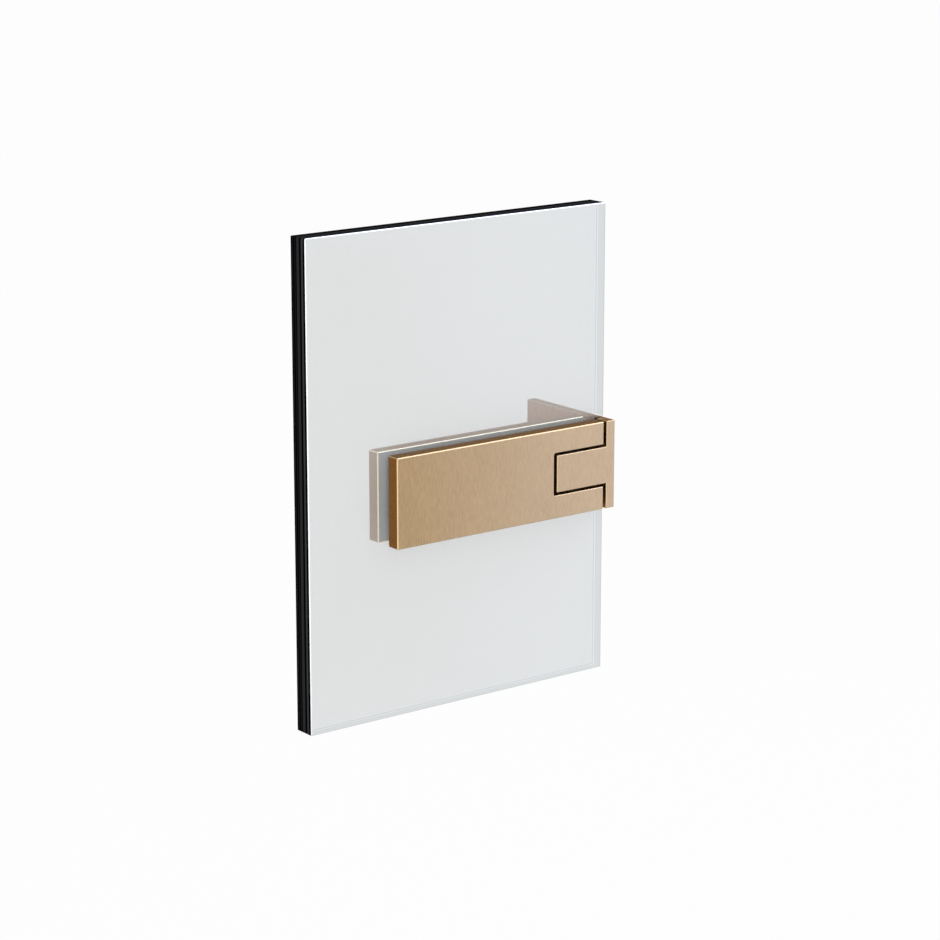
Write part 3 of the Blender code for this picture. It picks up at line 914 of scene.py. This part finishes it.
# %% Camera
sensor_width_mm = 36
lens_mm = 113.663
camera_place = (-0.62677, -0.75843, 0.23643)
looks_down = math.radians(13.891)
looks_right = math.radians(37.57)

camera_data = bpy.data.cameras.new("camera")
camera_data.sensor_width = sensor_width_mm
camera_data.lens = lens_mm
camera = bpy.data.objects.new("camera", camera_data)
camera.location = camera_place
camera.rotation_euler = (quarter_turn - looks_down, 0, -looks_right)
bpy.context.collection.objects.link(camera)
bpy.context.scene.camera = camera
bpy.context.scene.view_settings.view_transform = "Standard"
print("camera", round((camera.location - hinge_middle).length, 3), "m from the hinge")

# %% [markdown]
# ## Cards that the metal mirrors
#
# Brushed metal shows its surroundings as soft patches of light and dark. White surroundings alone would
# make every side of the hinge equally pale. A photographer stands dark or coloured cards where a face
# would mirror them: the camera's line of sight, mirrored in the face, says where.
#
# Each card glows with a low, warm light, and only mirror-like rays meet it. The camera, the shadows and the
# soft light pass through, and so does what is seen through the pane. A card fades out towards its sides, so
# that the smooth glass doesn't mirror a hard edge.

# %% Helpers for cards
def aimed(place, target):
    """The turn that makes a flat card or lamp at a place face a target."""
    return (Vector(place) - Vector(target)).to_track_quat("Z", "Y").to_euler()


def mirrored_from(target, normal):
    """The direction in which a flat face at a target mirrors the camera's line of sight."""
    sight = (Vector(target) - camera.location).normalized()
    return sight.reflect(Vector(normal).normalized())


def add_card(name, place, target, width, height, colour, fade_width):
    deselect_all()
    bpy.ops.mesh.primitive_plane_add(size=1)
    bpy.context.object.scale = (width, height, 1)
    bpy.context.object.rotation_euler = aimed(place, target)
    bpy.context.object.location = place
    card = settle(name)
    glowing = bpy.data.materials.new(name)
    glowing.use_nodes = True
    tree = glowing.node_tree
    tree.nodes.clear()
    glow = add_node(tree, "ShaderNodeEmission", Color=(*colour, 1), Strength=1.0)
    clear = add_node(tree, "ShaderNodeBsdfTransparent")
    ray = add_node(tree, "ShaderNodeLightPath").outputs
    mirrored = maths(tree, "SUBTRACT", ray["Is Glossy Ray"], ray["Is Transmission Ray"])
    across = add_node(tree, "ShaderNodeSeparateXYZ")
    tree.links.new(add_node(tree, "ShaderNodeTexCoord").outputs["UV"], across.inputs["Vector"])
    cover = mirrored
    for part in ("X", "Y"):
        from_edge = maths(tree, "PINGPONG", across.outputs[part], 0.5)
        fade = add_node(tree, "ShaderNodeMapRange", interpolation_type="SMOOTHSTEP")
        fade.inputs["From Max"].default_value = fade_width
        tree.links.new(from_edge, fade.inputs["Value"])
        cover = maths(tree, "MULTIPLY", cover, fade.outputs["Result"])
    mix_shaders(tree, cover, clear, glow)
    card.data.materials.append(glowing)
    card.visible_camera = card.visible_transmission = False
    card.visible_diffuse = card.visible_shadow = False


print("card helpers ready")

# %% [markdown]
# ### Three cards
#
# One card darkens the plates' left ends and one their narrow tops. The third, a soft flag to the left, makes
# the front face fall off in tone towards its free end, as the picture shows.

# %% Cards
left_card_away = 0.40
top_card_away = 0.50
flag_away = 0.30
flag_leftwards = 0.10
flag_raised = 0.03

left_end = Vector((plate_low.x, hinge_middle.y, 0))
left_place = left_end + left_card_away * mirrored_from(left_end, (-1, 0, 0))
add_card(
    "left_end_card", left_place, left_end,
    width=0.75, height=0.75, colour=(0.42, 0.22, 0.07), fade_width=0.12,
)

top_middle = Vector((hinge_middle.x, hinge_middle.y, plate_high.z))
top_place = top_middle + top_card_away * mirrored_from(top_middle, (0, 0, 1))
add_card(
    "top_card", top_place, top_middle,
    width=0.90, height=0.60, colour=(0.30, 0.175, 0.075), fade_width=0.12,
)

front_left = Vector((plate_low.x, plate_low.y, 0))
front_way = mirrored_from(front_left, (0, -1, 0))
leftwards = Vector((-1, 0, 0)) + front_way * front_way.x
flag_place = front_left + flag_away * front_way + flag_leftwards * leftwards + Vector((0, 0, flag_raised))
add_card(
    "front_flag", flag_place, front_left,
    width=0.34, height=0.36, colour=(0.60, 0.50, 0.28), fade_width=0.30,
)
print("the front face mirrors", tuple(round(part, 2) for part in front_way))

# %% [markdown]
# ## Lamps
#
# Two soft boxes light the hinge. One high on the right draws the bright line along the top edges. Its light
# is a little blue, so that this line comes out a paler gold than the faces. One low on the left draws the
# line down the left edge. Both stand where these edges would mirror them. Each is given by how bright its
# surface is, and the lamp's power follows from its size.

# %% Soft boxes
def add_softbox(name, place, target, width, height, radiance, colour=(1, 1, 1)):
    light = bpy.data.lights.new(name, "AREA")
    light.color = colour
    light.shape = "RECTANGLE"
    light.size = width
    light.size_y = height
    light.energy = radiance * math.pi * width * height
    lamp = bpy.data.objects.new(name, light)
    bpy.context.collection.objects.link(lamp)
    lamp.location = place
    lamp.rotation_euler = aimed(place, target)
    lamp.visible_camera = lamp.visible_transmission = False
    print(name, "at", tuple(round(part, 2) for part in place), "power", round(light.energy, 2), "W")


key_away = 0.9
key_colour = (0.68, 0.75, 1.0)
left_box_away = 0.8

key_place = hinge_middle + key_away * mirrored_from(hinge_middle, (0, -1, 1))
add_softbox("key_softbox", key_place, hinge_middle, width=0.45, height=0.40, radiance=3.4, colour=key_colour)
left_box_place = hinge_middle + left_box_away * mirrored_from(hinge_middle, (-1, -1, 0))
add_softbox("left_softbox", left_box_place, hinge_middle, width=0.25, height=0.50, radiance=1.5)
